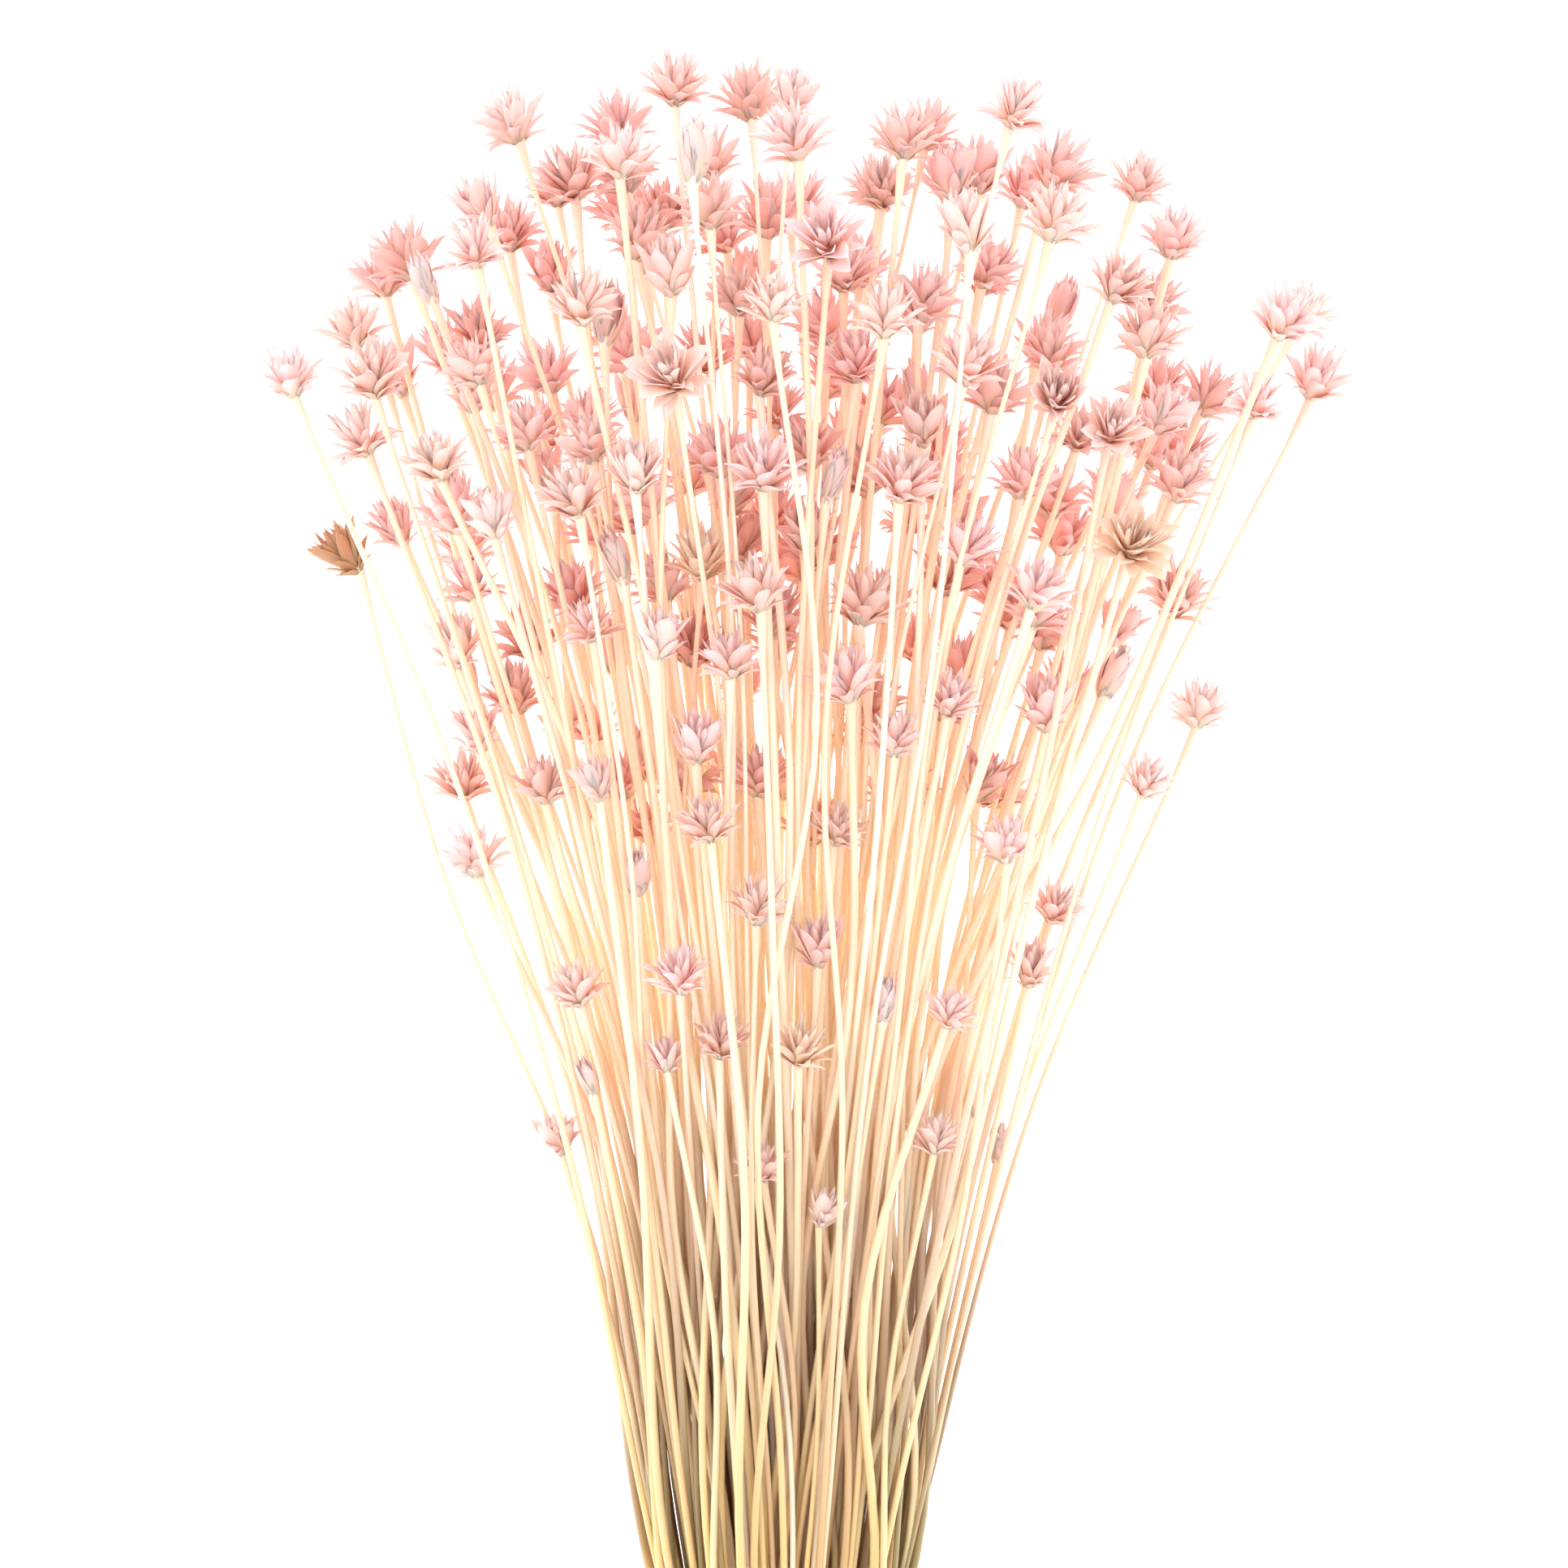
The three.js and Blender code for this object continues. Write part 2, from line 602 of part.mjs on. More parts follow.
const bunch = new THREE.Group();
const flowerLook = new THREE.MeshStandardMaterial({ color: 0xeec0b0, roughness: 0.8, metalness: 0 });
const twineLook = new THREE.MeshStandardMaterial({ color: 0xb59a6a, roughness: 0.9, metalness: 0 });
bundles.forEach((bundle, index) => {
  const own = stems.filter((stem) => stem.bundle === index);
  const mesh = new THREE.Mesh(bundleGeometry(bundle, own), flowerLook);
  mesh.name = `flowers_${String(index + 1).padStart(2, '0')}`;
  bunch.add(mesh);
});
const tie = new THREE.Mesh(tieGeometry(), twineLook);
tie.name = 'tie';
bunch.add(tie);

export default bunch;
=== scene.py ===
"""A tied bunch of dried, dyed hill flowers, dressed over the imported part.

Metres, +Z up. The bunch lies on its side with its heads towards +Y, and the camera looks down on it.
"""

import math
import random
from dataclasses import dataclass

import bmesh
import bpy
from mathutils import Matrix, Vector


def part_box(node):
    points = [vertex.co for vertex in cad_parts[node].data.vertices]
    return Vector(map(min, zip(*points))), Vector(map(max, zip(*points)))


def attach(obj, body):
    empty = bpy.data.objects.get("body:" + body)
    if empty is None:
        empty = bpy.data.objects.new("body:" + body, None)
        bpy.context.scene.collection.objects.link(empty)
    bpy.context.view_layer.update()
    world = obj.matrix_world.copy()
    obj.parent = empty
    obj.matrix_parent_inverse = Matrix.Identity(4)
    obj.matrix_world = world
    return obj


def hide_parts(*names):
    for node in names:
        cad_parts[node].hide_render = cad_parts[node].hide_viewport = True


MM = 0.001

# The photograph: how much of the bunch it shows, and where its middle is
PHOTO_SIDE = 405.7 * MM
PHOTO_PLANE = 70 * MM
PHOTO_MIDDLE = (0.8 * MM, 282.8 * MM)
CAMERA_HEIGHT = 2200 * MM

# Reading the nodes: corners that are one, corners on one level, and bracts in a whorl
WELD = 0.005 * MM
SAME_LEVEL = 0.01 * MM
WHORL = 5

# The stems of a bundle meet in a hub inside the tie, and are held wider apart there than its corners
HUB_END = 3 * MM
HUB_SPREAD = 1.4

# Stems: their half diameter beside the node's corners, their sides, steps and ribs
ROUND = 0.88
STEM_SIDES = 8
STEM_STEP = 12 * MM
RIB_DEPTH = 0.07

# A neck narrows a little, flares up to its head, and ends in a cup: rise and half diameter by its size
NECK_NARROWS = 0.95
NECK_LENGTH = 12 * MM
NECK_CURVE = 1.5
NECK_CUP = ((1.2, 1.5), (2.4, 1.5), (3.4, 0.5))

# A stem's tone is drawn, and darker the farther out it stands in the bunch
TONE_DRAWN = 0.85
TONE_OUTSIDE = 0.3
OUTERMOST = 28 * MM

# The twine of the tie, its two plies, and its ends, which are tucked in among the stems
TWINE = 2.2 * MM
TWINE_TURNS = 6
TWINE_STEP = 1.3 * MM
FIRST_TURN = math.pi / 3
PLY = TWINE * 0.25
PLY_SIDES = 6
PLY_TWIST = 7 * MM
TUCKED_FROM = 0.97
TUCKED_OVER = 0.03
TUCK_DEPTH = 1.5

# Bracts: their thickness, the length of a usual one, and the angles that they bend and twist by
BRACT_THICKNESS = 0.14 * MM
TYPICAL_BRACT = 9 * MM
BENDS = (-1.2, -0.7, -0.2, 0.3, 0.8)
TWISTS = (-0.35, 0.35)

# A lying bract bends back and a standing one doesn't. The rest is how far bracts differ
BEND_BY_RISE = 1.3
BEND_VARIES = 0.35
ROLL_VARIES = 0.3
WIDTH_VARIES = (0.8, 1.35)
TURN_VARIES = 0.35
PAST_THE_TIP = 0.06
CLEAR_OF_FLOOR = 0.05 * MM

# Heads that kept little dye and one that went brown, by the place of their necks
UNDYED = [(4 * MM, 210 * MM), (90 * MM, 342 * MM), (-20 * MM, 335 * MM)]
BROWNED = [(-110 * MM, 338 * MM)]
SAME_NECK = 3 * MM

# Dye and depth of colour of the heads, and of the ones that differ, as (dye, depth). The depth is partly
# drawn at random and partly painted shade that grows as a head lies buried under others
DYE = (0.72, 1)
DEPTH_ON_TOP = 0.15
PAINTED_SHADE_BURIED = 0.65
DEPTH_VARIES = (-0.2, 0.3)
UNDYED_LOOK = (0.4, 0.05)
BROWNED_LOOK = (0, 0.75)

# Painted shade: heads and stems take a deeper, darker colour the farther they lie under what is near them
NEARBY = 28 * MM
BURIED = 55 * MM
PATCH = 9 * MM
SHADED = 26 * MM

# The straw goes over from its low colours to its high ones between these places along the bunch
STRAW_CHANGES = (80 * MM, 220 * MM)

# The studio: plain white light from all round, two faint softboxes, and a floor that glows
WORLD_STRENGTH = 1.28
SOFTBOXES = (
    ("softbox_left", (-0.9, 0.9, 1.7), 0.9, 5),
    ("softbox_right", (1.0, 0.1, 1.8), 1.1, 3),
)
FLOOR_REACH = 3
FLOOR_GLOW = 0.9

# Light passes from bract to bract many times, and stays warm only if it is followed that far
MAX_BOUNCES = 20
DIFFUSE_BOUNCES = 14


@dataclass
class Bract:
    """One kind of bract: its width for its length, the shape of its edges, and how far in it grows."""

    width: float
    foot: float
    swell: float
    taper: float
    cup: float
    heart: float
    rows: int


BRACTS = {
    "broad": Bract(width=0.40, foot=0.45, swell=2.2, taper=0.8, cup=0.45, heart=0, rows=5),
    "slender": Bract(width=0.27, foot=0.6, swell=1.9, taper=0.95, cup=0.6, heart=0.6, rows=5),
    "fine": Bract(width=0.15, foot=0.7, swell=1.6, taper=1.0, cup=0.5, heart=1, rows=3),
}


@dataclass
class Head:
    """A head: the top of its neck, the way it faces, the tips of its two whorls, and its neck's size."""

    base: Vector
    axis: Vector
    tips: list
    points: list
    size: float


@dataclass
class Stem:
    """A stem: the points that it passes through, its half diameters there, and its head, if it has one."""

    knots: list
    radii: list
    head: Head


def middle_of(verts):
    """The mean place of some corners."""
    return sum((v.co for v in verts), Vector()) / len(verts)


def neighbours(vert):
    """The corners that share an edge with one."""
    return [edge.other_vert(vert) for edge in vert.link_edges]


def strands(bm, hub):
    """What stays joined together once the hub is taken away."""
    seen = set(hub)
    for start in bm.verts:
        if start in seen:
            continue
        strand = [start]
        seen.add(start)
        for vert in strand:
            for other in neighbours(vert):
                if other not in seen:
                    seen.add(other)
                    strand.append(other)
        yield strand


def rings_of(strand, hub):
    """The strand's rings of corners, counted from the hub outwards."""
    ring = [v for v in strand if hub.intersection(neighbours(v))]
    reached = set(ring)
    rings = []
    while ring:
        rings.append(ring)
        ring = [v for v in strand if v not in reached and reached.intersection(neighbours(v))]
        reached.update(ring)
    return rings


def read_head(neck, outer, inner, heart):
    """A head's axis and the tips of its two whorls."""
    base = middle_of(neck)
    axis = (heart[0].co - base).normalized()
    size = (neck[0].co - base).length

    def height(corner):
        return (corner.co - base).dot(axis)

    def reach(corner):
        return (corner.co - base - axis * height(corner)).length

    tips = sorted(outer, key=reach)[-WHORL:]
    points = sorted(inner, key=height)[-WHORL:]
    return Head(base, axis, [v.co.copy() for v in tips], [v.co.copy() for v in points], size)


def read_stems(node):
    """The stems of one bundle, read from a merged copy of its node."""
    bm = bmesh.new()
    bm.from_mesh(node.data)
    bmesh.ops.remove_doubles(bm, verts=bm.verts, dist=WELD)
    hub = {v for v in bm.verts if abs(abs(v.co.y) - HUB_END) < SAME_LEVEL}
    hub_middle = middle_of(hub)
    above, below = [], []
    for strand in strands(bm, hub):
        touched = {v for corner in strand for v in neighbours(corner) if v in hub}
        seat = middle_of(touched)
        entry = (Vector((seat.x, 0, seat.z)), rings_of(strand, hub))
        (above if seat.y > 0 else below).append(entry)
    stems = []
    for seat, rings in above:
        cut = min(below, key=lambda entry: (entry[0] - seat).length)[1][0]
        sections = [ring for ring in rings if len(ring) == 3]
        head = read_head(sections[-1], *rings[-3:]) if len(rings) > len(sections) else None
        held = hub_middle + (seat - hub_middle) * HUB_SPREAD
        knots = [middle_of(cut), held] + [middle_of(ring) for ring in sections]
        radii = [(ring[0].co - middle_of(ring)).length for ring in [cut, cut, *sections]]
        if head:
            radii[-1] = radii[-2] * NECK_NARROWS
        stems.append(Stem(knots, radii, head))
    bm.free()
    return stems


def press_outwards(bundles):
    """Moves the stems apart inside the tie, until the outer ones touch its twine."""
    low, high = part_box("tie")
    centre = (low + high) / 2
    inner = (high.x - low.x) / 2 - TWINE
    stems = [stem for bundle in bundles for stem in bundle]
    held = [stem.knots[1] - centre for stem in stems]
    for stem, away in zip(stems, held):
        way = away.normalized()
        outermost = max(other.dot(way) for other in held)
        limit = inner - stem.radii[1] * ROUND
        share = away.length / outermost
        stem.knots[1] = centre + away * (1 + (limit / outermost - 1) * share ** 2)


def stem_line(knots, radii):
    """Points and half diameters along a stem that passes smoothly through its knots."""
    rises = [(after - before) / (after.y - before.y) for before, after in zip(knots, knots[1:])]
    spans = [after.y - before.y for before, after in zip(knots, knots[1:])]
    slopes = [rises[0]]
    for index in range(1, len(knots) - 1):
        before, after = spans[index - 1], spans[index]
        slopes.append((rises[index - 1] * after + rises[index] * before) / (before + after))
    slopes.append(rises[-1])
    line = []
    for index, span in enumerate(spans):
        steps = max(2, round(span / STEM_STEP))
        for step in range(steps):
            t = step / steps
            start, end = knots[index], knots[index + 1]
            point = (
                start * (1 + 2 * t) * (1 - t) ** 2
                + slopes[index] * span * t * (1 - t) ** 2
                + end * t * t * (3 - 2 * t)
                - slopes[index + 1] * span * t * t * (1 - t)
            )
            line.append((point, radii[index] + (radii[index + 1] - radii[index]) * t))
    line.append((knots[-1], radii[-1]))
    return line


def upright(point, along, radius):
    """Places a unit circle so that it faces along, at a point."""
    along = along.normalized()
    across = (Vector((1, 0, 0)) - along * along.x).normalized()
    up = along.cross(across)
    turn = Matrix((across, up, along)).transposed().to_4x4()
    return Matrix.Translation(point) @ turn @ Matrix.Scale(radius, 4)


def add_tube(bm, line, sides, rib=0.0, end_along=None):
    """A closed tube through points, each with its half diameter. Returns its corners."""
    points = [point for point, _ in line]
    ways = [points[1] - points[0]]
    ways += [after - before for before, after in zip(points, points[2:])]
    ways.append(end_along or points[-1] - points[-2])
    places = [upright(p, way, radius) for (p, radius), way in zip(line, ways)]
    ring = bmesh.ops.create_circle(bm, segments=sides, radius=1)["verts"]
    ribs = bm.verts.layers.float["rib"]
    for index, vert in enumerate(ring):
        vert[ribs] = index % 2
        vert.co *= 1 - rib * (index % 2)
    bmesh.ops.transform(bm, matrix=places[0], verts=ring)
    first = edges = list(dict.fromkeys(edge for vert in ring for edge in vert.link_edges))
    corners = list(ring)
    for before, after in zip(places, places[1:]):
        grown = bmesh.ops.extrude_edge_only(bm, edges=edges)["geom"]
        edges = [item for item in grown if isinstance(item, bmesh.types.BMEdge)]
        verts = [item for item in grown if isinstance(item, bmesh.types.BMVert)]
        bmesh.ops.transform(bm, matrix=after @ before.inverted(), verts=verts)
        corners += verts
    for end in (first, edges):
        bmesh.ops.edgeloop_fill(bm, edges=end)
    return corners


def mesh_from(name, bm):
    """Turns a bmesh into a mesh, and frees it."""
    mesh = bpy.data.meshes.new(name)
    bm.to_mesh(mesh)
    bm.free()
    return mesh


def add_object(name, data):
    """Puts an object with its data into the scene."""
    placed = bpy.data.objects.new(name, data)
    bpy.context.scene.collection.objects.link(placed)
    return placed


def finish_piece(name, bm, material, slot, *nodes):
    """Turns a bmesh into a piece that rides on the bunch and stands for its nodes."""
    for face in bm.faces:
        face.smooth = True
    bmesh.ops.recalc_face_normals(bm, faces=bm.faces)
    mesh = mesh_from(name, bm)
    mesh.materials.append(material)
    piece = add_object(name, mesh)
    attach(piece, "root")
    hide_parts(*nodes)


def make_bract(name, kind, bend, twist):
    """A bract one unit long: its base at the origin, its tip at +Y, its inner face towards +Z."""
    bm = bmesh.new()
    along = bm.verts.layers.float.new("along")
    vein = bm.verts.layers.float.new("vein")
    heart = bm.verts.layers.float.new("heart")
    bmesh.ops.create_grid(bm, x_segments=2, y_segments=kind.rows, size=0.5)
    for vert in bm.verts:
        t = vert.co.y + 0.5
        side = vert.co.x * 2
        half = kind.width / 2 * (1 - t) ** kind.taper * (kind.foot + kind.swell * t)
        turned = bend * t
        lift = kind.cup * side * side * half
        across = side * half * math.cos(twist * t)
        lift += side * half * math.sin(twist * t)
        vert[along] = t
        vert[vein] = side
        vert[heart] = kind.heart
        vert.co = Vector((
            across,
            math.sin(turned) / bend - lift * math.sin(turned),
            (1 - math.cos(turned)) / bend + lift * math.cos(turned),
        ))
    chord = math.sin(bend / 2) / (bend / 2)
    bmesh.ops.rotate(bm, matrix=Matrix.Rotation(-bend / 2, 3, "X"), verts=bm.verts)
    bmesh.ops.scale(bm, vec=(1 / chord,) * 3, verts=bm.verts)
    bmesh.ops.remove_doubles(bm, verts=bm.verts, dist=1e-4)
    bmesh.ops.recalc_face_normals(bm, faces=bm.faces)
    bmesh.ops.solidify(bm, geom=bm.faces[:], thickness=BRACT_THICKNESS / TYPICAL_BRACT)
    return mesh_from(name, bm)


def make_bracts():
    """Each kind of bract, bent and twisted in several ways."""
    return {
        (name, bend, twist): make_bract(f"{name}_bract", kind, bend, twist)
        for name, kind in BRACTS.items() for bend in BENDS for twist in TWISTS
    }


def add_bract(bm, bracts, chance, kind, base, tip, axis):
    """One bract from base to tip, with its inner face towards the axis."""
    way = tip - base
    out = (way - axis * way.dot(axis)).normalized()
    rise = math.atan2(way.dot(axis), way.dot(out))
    wanted = -BEND_BY_RISE + BEND_BY_RISE * rise + chance.uniform(-BEND_VARIES, BEND_VARIES)
    bend = min(BENDS, key=lambda each: abs(each - wanted))
    start = len(bm.verts)
    bm.from_mesh(bracts[kind, bend, chance.choice(TWISTS)])
    bm.verts.ensure_lookup_table()
    verts = bm.verts[start:]
    along = way.normalized()
    inwards = along.cross(axis.cross(out))
    turn = Matrix((along.cross(inwards), along, inwards)).transposed().to_4x4()
    roll = Matrix.Rotation(chance.uniform(-ROLL_VARIES, ROLL_VARIES), 4, "Y")
    width = Matrix.Diagonal((chance.uniform(*WIDTH_VARIES), 1, 1, 1))
    place = Matrix.Translation(base) @ turn @ Matrix.Scale(way.length, 4) @ roll @ width
    bmesh.ops.transform(bm, matrix=place, verts=verts)


def add_head(bm, bracts, head, chance):
    """The whorls of one head, between the tips that the node gives."""
    base, axis = head.base, head.axis

    def mean_height(corners):
        return sum((corner - base).dot(axis) for corner in corners) / len(corners)

    def mean_reach(corners):
        return sum((corner - base).cross(axis).length for corner in corners) / len(corners)

    reach, height = mean_reach(head.tips), mean_height(head.tips)
    inner_reach, inner_height = mean_reach(head.points), mean_height(head.points)
    first = head.tips[0] - base
    forwards = (first - axis * first.dot(axis)).normalized()
    sideways = axis.cross(forwards)

    def bract(kind, tip, seat_distance, seat_rise):
        """One bract to a tip, from its seat beside and along the axis, in sizes of the neck."""
        out = tip - base
        out = (out - axis * out.dot(axis)).normalized()
        seat = base + (axis * seat_rise + out * seat_distance) * head.size
        add_bract(bm, bracts, chance, kind, seat, tip, axis)

    def whorl(kind, count, distance, rise, seat_distance, seat_rise, loose):
        """A whorl of bracts whose tips lie this far out and up, or less by as much as it is loose."""
        offset = chance.uniform(0, math.tau)
        for index in range(count):
            turn = offset + (index + chance.uniform(-TURN_VARIES, TURN_VARIES)) * math.tau / count
            far = distance * chance.uniform(1 - loose, 1)
            tall = rise * chance.uniform(1 - loose, 1)
            tip = base + axis * tall + (forwards * math.cos(turn) + sideways * math.sin(turn)) * far
            bract(kind, tip, seat_distance, seat_rise)

    start = len(bm.verts)
    between = (reach + inner_reach) / 2
    for tip in head.tips:
        bract("broad", tip + (tip - base) * PAST_THE_TIP, 0.9, 0.6)
    whorl("broad", 5, reach * 1.12, height * 0.62, 0.8, 0.2, 0.25)
    whorl("broad", 4, reach, height * 0.28, 0.8, 0.1, 0.35)
    whorl("slender", 6, between * 1.25, (height + inner_height) / 2, 0.9, 1.0, 0.2)
    whorl("slender", 6, between, inner_height * 0.95, 0.8, 1.6, 0.18)
    for tip in head.points:
        bract("slender", tip, 0.6, 2.0)
    whorl("fine", 8, inner_reach * 1.1, inner_height * 1.02, 0.4, 2.2, 0.25)
    whorl("fine", 5, inner_reach * 0.5, inner_height * 0.98, 0.2, 2.4, 0.25)
    bm.verts.ensure_lookup_table()
    return bm.verts[start:]


def grows_at(spots, head):
    """Whether a head's neck is at one of the spots of the ground plan."""
    return any(math.hypot(head.base.x - x, head.base.y - y) < SAME_NECK for x, y in spots)


def buried(head, heads):
    """How far a head lies under the ones near it: 0 on top, 1 deep down."""
    near = [other for other in heads if (other.base - head.base).xy.length < NEARBY]
    return min(1, max(other.base.z - head.base.z for other in near) / BURIED)


def make_heads(node, stems, heads, bracts, material):
    """The heads of one node, each with its dye and its depth of colour, partly drawn at random and partly
    painted shade for how deep each lies under other heads.
    """
    bm = bmesh.new()
    names = ("along", "vein", "heart", "dye", "deep")
    layers = {name: bm.verts.layers.float.new(name) for name in names}
    for index, stem in enumerate(stems):
        if not stem.head:
            continue
        chance = random.Random(f"head {node.name} {index}")
        corners = add_head(bm, bracts, stem.head, chance)
        dye = chance.uniform(*DYE)
        # Painted shade: a head buried under others gets a deeper colour, on top of a random depth
        depth = DEPTH_ON_TOP + PAINTED_SHADE_BURIED * buried(stem.head, heads) + chance.uniform(*DEPTH_VARIES)
        deep = min(1, max(0, depth))
        if grows_at(UNDYED, stem.head):
            dye, deep = UNDYED_LOOK
        if grows_at(BROWNED, stem.head):
            dye, deep = BROWNED_LOOK
        for vert in corners:
            vert[layers["dye"]] = dye
            vert[layers["deep"]] = deep
            vert.co.z = max(vert.co.z, CLEAR_OF_FLOOR)
    finish_piece(node.name.replace("flowers", "heads"), bm, material, "dried_flower", node.name)


def patch(point):
    """The square of the ground plan that a point is over."""
    return round(point.x / PATCH), round(point.y / PATCH)


def highest_stems(bundles):
    """The height of the uppermost stem over each square of the ground plan."""
    tops = {}
    for stem in (stem for bundle in bundles for stem in bundle):
        for point, _ in stem_line(stem.knots, stem.radii):
            tops[patch(point)] = max(tops.get(patch(point), 0), point.z)
    return tops


def make_stems(node, stems, tops, material):
    """The stems of one node, each with its flared neck, its tone, and painted shade by its depth under the
    others.
    """
    bm = bmesh.new()
    bm.verts.layers.float.new("rib")
    tone = bm.verts.layers.float.new("tone")
    deep = bm.verts.layers.float.new("deep")
    for index, stem in enumerate(stems):
        chance = random.Random(f"stem {node.name} {index}")
        line = [(point, radius * ROUND) for point, radius in stem_line(stem.knots, stem.radii)]
        end_along = None
        if stem.head:
            neck = stem.head.base
            size = stem.head.size
            flared = []
            for point, radius in line:
                share = max(0, 1 - (neck.y - point.y) / NECK_LENGTH) ** NECK_CURVE
                flared.append((point, radius + (size - radius) * share))
            axis = stem.head.axis
            line = flared + [(neck + axis * size * rise, size * wide) for rise, wide in NECK_CUP]
            end_along = axis
        outside = min(1, abs(stem.knots[2].x) / OUTERMOST)
        shade = min(1, chance.random() * TONE_DRAWN + TONE_OUTSIDE * outside ** 2)
        corners = add_tube(bm, line, STEM_SIDES, RIB_DEPTH, end_along)
        for number, vert in enumerate(corners):
            point = line[number // STEM_SIDES][0]
            vert[tone] = shade
            # Painted shade: the deeper a corner lies under the uppermost stem over its patch, the darker the
            # straw paints it
            vert[deep] = min(1, max(0, tops.get(patch(point), 0) - point.z) / SHADED)
    finish_piece(node.name.replace("flowers", "stems"), bm, material, "straw_stem", node.name)


def make_twine(material):
    """Two twisted plies, wound round the stems where the tie is."""
    low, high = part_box("tie")
    centre = (low + high) / 2
    wound = (high.x - low.x) / 2 - TWINE / 2
    width = (high.y - low.y) - TWINE
    bm = bmesh.new()
    bm.verts.layers.float.new("rib")
    length = TWINE_TURNS * math.tau * wound
    steps = round(length / TWINE_STEP)
    for ply in (0, 1):
        line = []
        for step in range(steps + 1):
            share = step / steps
            turn = share * TWINE_TURNS * math.tau + FIRST_TURN
            twist = share * length / PLY_TWIST * math.tau + ply * math.pi
            tucked = max(0, abs(share - 0.5) * 2 - TUCKED_FROM) / TUCKED_OVER * TWINE * TUCK_DEPTH
            out = Vector((math.cos(turn), 0, math.sin(turn)))
            point = centre + out * (wound - tucked + math.cos(twist) * PLY)
            point.y += width * (share - 0.5) + math.sin(twist) * PLY
            line.append((point, PLY))
        add_tube(bm, line, PLY_SIDES)
    finish_piece("tie_twine", bm, material, "twine", "tie")


def linear(hex_colour):
    """An sRGB hex colour as linear RGBA."""
    channels = [int(hex_colour[start:start + 2], 16) / 255 for start in (1, 3, 5)]
    return (*[c / 12.92 if c <= 0.04045 else ((c + 0.055) / 1.055) ** 2.4 for c in channels], 1)


def add(material, kind, inputs=(), **settings):
    """Adds a node with its settings, and sets or links its inputs."""
    tree = material.node_tree
    node = tree.nodes.new(kind)
    for name, value in settings.items():
        setattr(node, name, value)
    for name, value in dict(inputs).items():
        if isinstance(value, bpy.types.NodeSocket):
            tree.links.new(value, node.inputs[name])
        else:
            node.inputs[name].default_value = value
    return node


def new_material(name):
    """An empty node material."""
    material = bpy.data.materials.new(name)
    material.use_nodes = True
    material.node_tree.nodes.clear()
    return material


def attribute(material, name):
    """A value that the corners of the mesh carry."""
    return add(material, "ShaderNodeAttribute", attribute_name=name).outputs["Fac"]


def blend(material, factor, one, other):
    """Mixes two colours, each a socket or a hex colour."""
    one, other = [linear(c) if isinstance(c, str) else c for c in (one, other)]
    return add(material, "ShaderNodeMix", {0: factor, 6: one, 7: other}, data_type="RGBA").outputs[2]


def ramp(material, factor, *colours):
    """Runs through a row of hex colours at even steps."""
    node = add(material, "ShaderNodeValToRGB", {"Fac": factor})
    stops = node.color_ramp.elements
    stops[0].color = linear(colours[0])
    stops[1].color = linear(colours[-1])
    for index, colour in enumerate(colours[1:-1], start=1):
        stops.new(index / (len(colours) - 1)).color = linear(colour)
    return node.outputs["Color"]


def measure(material, value, *limits):
    """Takes a value from one range to another."""
    names = ("From Min", "From Max", "To Min", "To Max")
    return add(material, "ShaderNodeMapRange", {"Value": value, **dict(zip(names, limits))}).outputs["Result"]


def give_surface(material, inputs):
    """Ends a material in a surface with these inputs."""
    shader = add(material, "ShaderNodeBsdfPrincipled", inputs)
    add(material, "ShaderNodeOutputMaterial", {"Surface": shader.outputs[0]})
    return material


def dyed_bract():
    """Papery dried bracts, bleached and dyed: matt, thin enough to glow, deepest in the heart of a head, and
    deeper still where heads lie buried, as painted shade.
    """
    material = new_material("dyed_dried_bract")
    along = attribute(material, "along")
    vein = attribute(material, "vein")
    dye = attribute(material, "dye")
    deep = attribute(material, "deep")
    foot = blend(material, attribute(material, "heart"), "#FBDFBE", "#F59A8A")
    pale = blend(material, measure(material, along, 0.1, 0.9, 0, 1), "#FBD3CA", "#FCE1E3")
    strong = blend(material, measure(material, along, 0.1, 0.9, 0, 1), "#FABEB3", "#FBD0D1")
    # Painted shade with a random part: heads lying deeper take the stronger salmon
    pink = blend(material, deep, pale, strong)
    pink = blend(material, measure(material, along, 0, 0.45, 0.8, 0), pink, foot)
    # Cream goes brown by the same attribute: painted shade where a head is buried, the browned head's own
    # brown
    cream = blend(material, deep, "#F6E2BE", "#A06A3C")
    colour = blend(material, dye, cream, pink)
    streak = {"X": vein, "Y": measure(material, along, 0, 1, 0, 0.4)}
    fibres = add(material, "ShaderNodeTexWave", {
        "Vector": add(material, "ShaderNodeCombineXYZ", streak).outputs[0],
        "Scale": 1.6, "Distortion": 1.5, "Detail": 2.0,
    }, wave_type="BANDS", bands_direction="X")
    colour = blend(material, measure(material, fibres.outputs["Fac"], 0, 1, 0, 0.18), colour, "#F4A297")
    bump = add(material, "ShaderNodeBump", {
        "Height": fibres.outputs["Fac"], "Strength": 0.35, "Distance": 0.1 * MM,
    })
    return give_surface(material, {
        "Base Color": colour, "Roughness": 0.7, "IOR": 1.45, "Normal": bump.outputs[0],
        "Subsurface Weight": 0.6, "Subsurface Radius": (1.0, 0.55, 0.48), "Subsurface Scale": 1.0 * MM,
    })


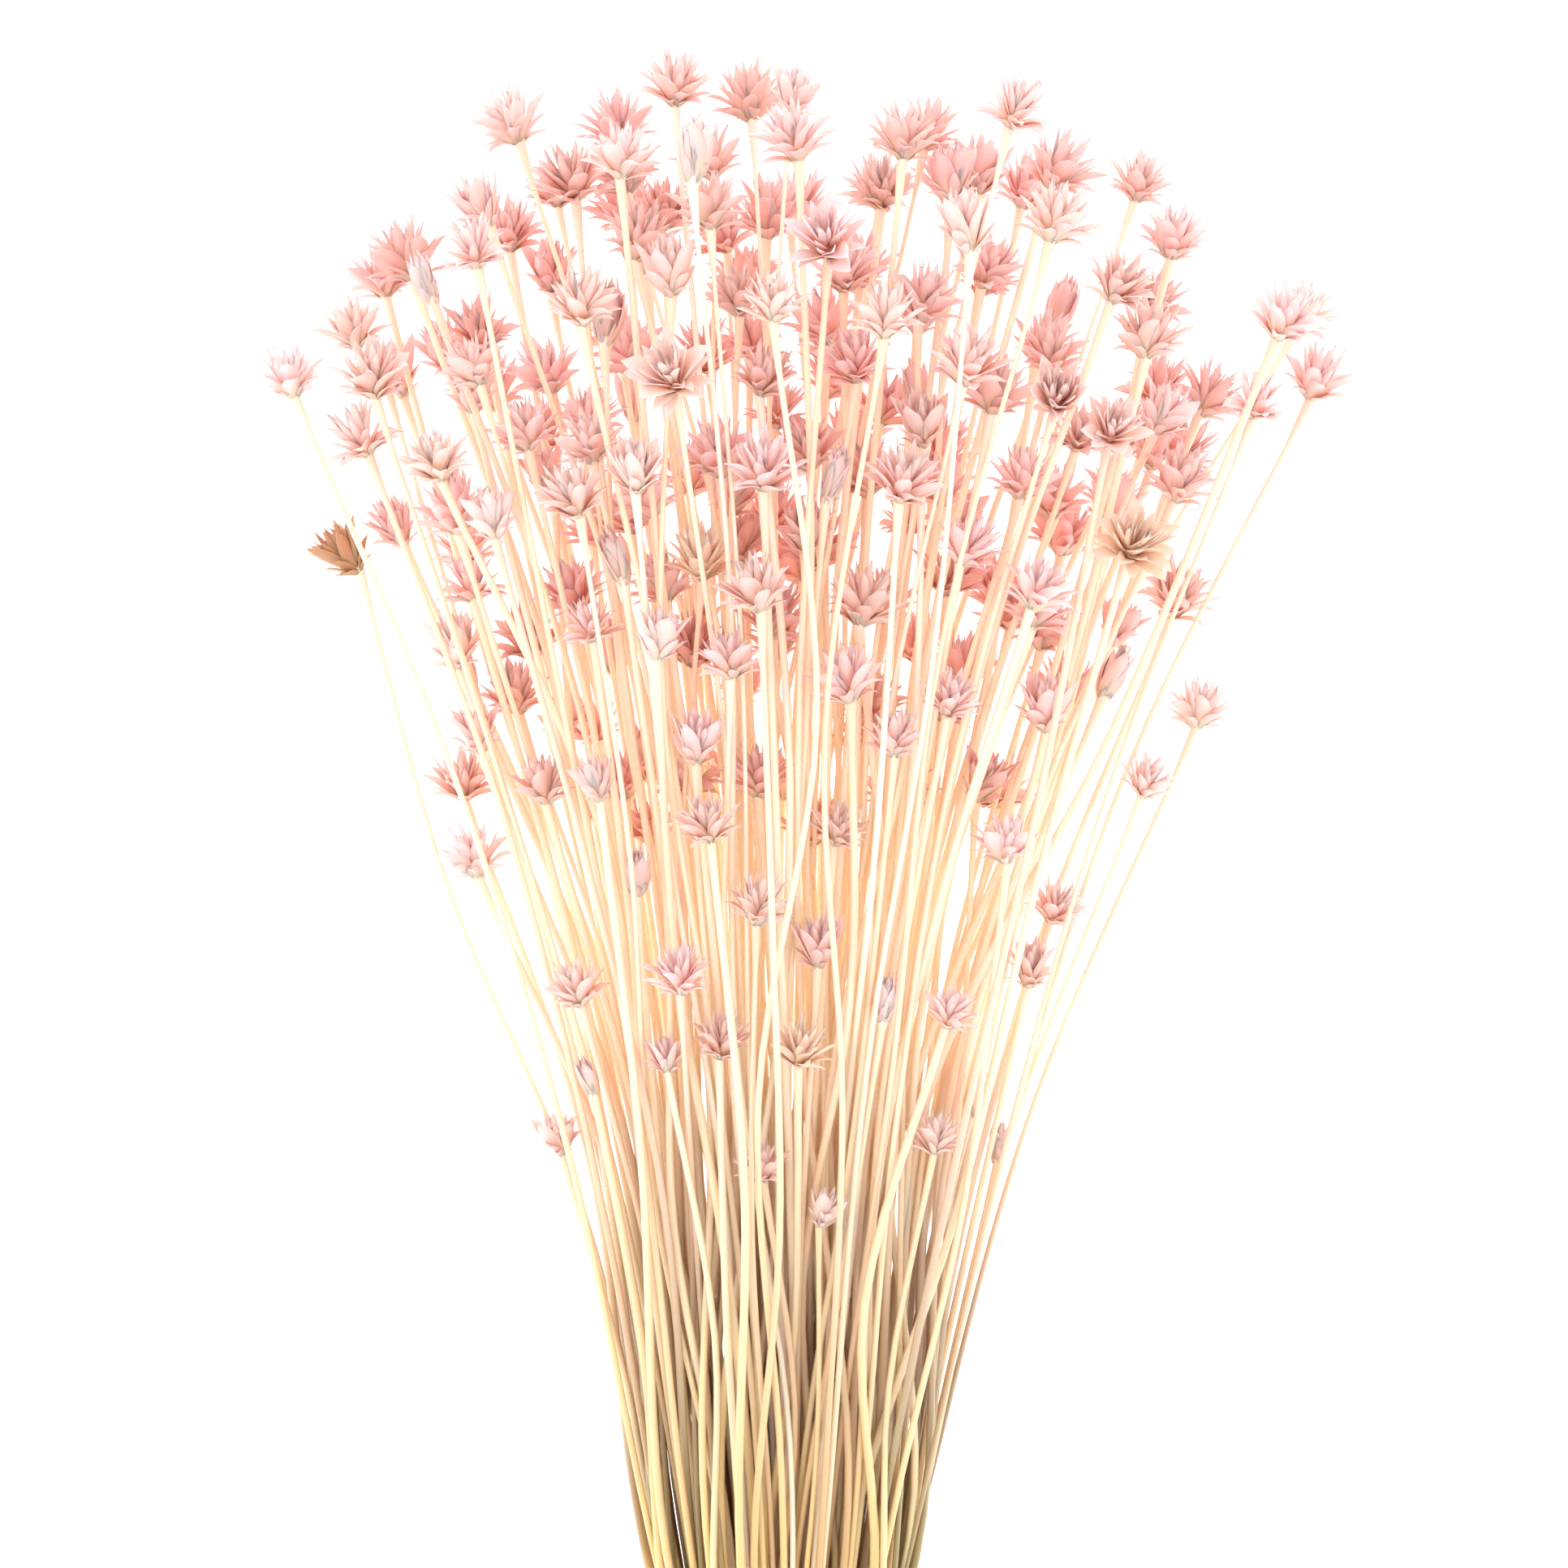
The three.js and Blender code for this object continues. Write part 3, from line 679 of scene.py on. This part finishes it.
def straw():
    """Dried flower straw: satin and ribbed, cream under the heads, straw yellow to tan at the cut ends, with
    painted shade where stems lie under others.
    """
    material = new_material("dried_straw")
    place = add(material, "ShaderNodeSeparateXYZ", {
        "Vector": add(material, "ShaderNodeTexCoord").outputs["Object"],
    })
    tone = attribute(material, "tone")
    rib = attribute(material, "rib")
    deep = attribute(material, "deep")
    up = measure(material, place.outputs["Y"], *STRAW_CHANGES, 0, 1)
    high = ramp(material, tone, "#FBF3E8", "#FBEFDC", "#FBEAD2", "#FAE4CC", "#FADAC8")
    low = ramp(material, tone, "#F7E6D6", "#EEDBB6", "#E6CA88", "#D6AE7C", "#968A5E")
    colour = blend(material, up, low, high)
    colour = blend(material, measure(material, rib, 0, 1, 0, 0.18), colour, "#F8DEB2")
    # Painted shade: stems lying under others go over to dark brown near the cut ends and warm cream high up
    shade = blend(material, up, "#7C5340", "#FCF0DA")
    colour = blend(material, measure(material, deep, 0.15, 1, 0, 0.75), colour, shade)
    return give_surface(material, {
        "Base Color": colour, "Roughness": 0.45, "IOR": 1.5,
        "Subsurface Weight": 0.5, "Subsurface Radius": (1.0, 0.55, 0.3), "Subsurface Scale": 1.5 * MM,
    })


def jute_twine():
    """Natural jute twine: dull brown fibres, lighter where they stand proud."""
    material = new_material("jute_twine")
    place = add(material, "ShaderNodeTexCoord").outputs["Object"]
    fibres = add(material, "ShaderNodeTexNoise", {"Vector": place, "Scale": 1.2 / MM, "Detail": 4.0})
    colour = blend(material, fibres.outputs["Fac"], "#8A6A3E", "#CDB083")
    bump = add(material, "ShaderNodeBump", {
        "Height": fibres.outputs["Fac"], "Strength": 0.6, "Distance": 0.2 * MM,
    })
    return give_surface(material, {
        "Base Color": colour, "Roughness": 0.85, "IOR": 1.5, "Normal": bump.outputs[0],
    })


def white_card():
    """Matt white card, lit from below like a light table, so that shadows on it stay faint."""
    material = new_material("white_card")
    return give_surface(material, {
        "Base Color": linear("#FAFAFA"), "Roughness": 0.9,
        "Emission Color": linear("#FFFFFF"), "Emission Strength": FLOOR_GLOW,
    })


def add_floor():
    """A wide plain floor under the bunch."""
    bm = bmesh.new()
    bmesh.ops.create_grid(bm, x_segments=1, y_segments=1, size=FLOOR_REACH)
    mesh = mesh_from("floor", bm)
    mesh.materials.append(white_card())
    add_object("floor", mesh)


def add_camera():
    """A camera straight above the middle of the photograph, which frames what it shows."""
    data = bpy.data.cameras.new("camera")
    data.lens = data.sensor_width * (CAMERA_HEIGHT - PHOTO_PLANE) / PHOTO_SIDE
    camera = add_object("camera", data)
    camera.location = (*PHOTO_MIDDLE, CAMERA_HEIGHT)
    bpy.context.scene.camera = camera


def add_light(name, place, size, power):
    """A round softbox that is aimed at the middle of the photograph."""
    data = bpy.data.lights.new(name, "AREA")
    data.shape = "DISK"
    data.size = size
    data.energy = power
    light = add_object(name, data)
    light.location = place
    aim = Vector((*PHOTO_MIDDLE, 0)) - Vector(place)
    light.rotation_euler = aim.to_track_quat("-Z", "Y").to_euler()


def light_scene():
    """White light from all round and the two softboxes."""
    scene = bpy.context.scene
    scene.view_settings.view_transform = "Standard"
    world = bpy.data.worlds.new("studio")
    world.use_nodes = True
    background = world.node_tree.nodes["Background"].inputs
    background["Color"].default_value = linear("#FFFFFF")
    background["Strength"].default_value = WORLD_STRENGTH
    scene.world = world
    scene.cycles.max_bounces = MAX_BOUNCES
    scene.cycles.diffuse_bounces = DIFFUSE_BOUNCES
    for softbox in SOFTBOXES:
        add_light(*softbox)


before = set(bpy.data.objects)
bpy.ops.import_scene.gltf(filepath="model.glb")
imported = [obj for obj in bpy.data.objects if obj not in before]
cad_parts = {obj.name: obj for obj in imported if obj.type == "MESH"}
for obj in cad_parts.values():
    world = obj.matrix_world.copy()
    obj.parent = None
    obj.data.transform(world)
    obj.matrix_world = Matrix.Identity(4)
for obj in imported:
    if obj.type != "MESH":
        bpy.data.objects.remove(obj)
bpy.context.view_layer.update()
add_camera()
light_scene()
add_floor()

bract_meshes = make_bracts()
bract_material = dyed_bract()
straw_material = straw()
nodes = [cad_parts[name] for name in sorted(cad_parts) if name.startswith("flowers")]
bundles = [read_stems(node) for node in nodes]
press_outwards(bundles)
all_heads = [stem.head for bundle in bundles for stem in bundle if stem.head]
stem_tops = highest_stems(bundles)
for cad_node, bundle in zip(nodes, bundles):
    make_stems(cad_node, bundle, stem_tops, straw_material)
    make_heads(cad_node, bundle, all_heads, bract_meshes, bract_material)
make_twine(jute_twine())
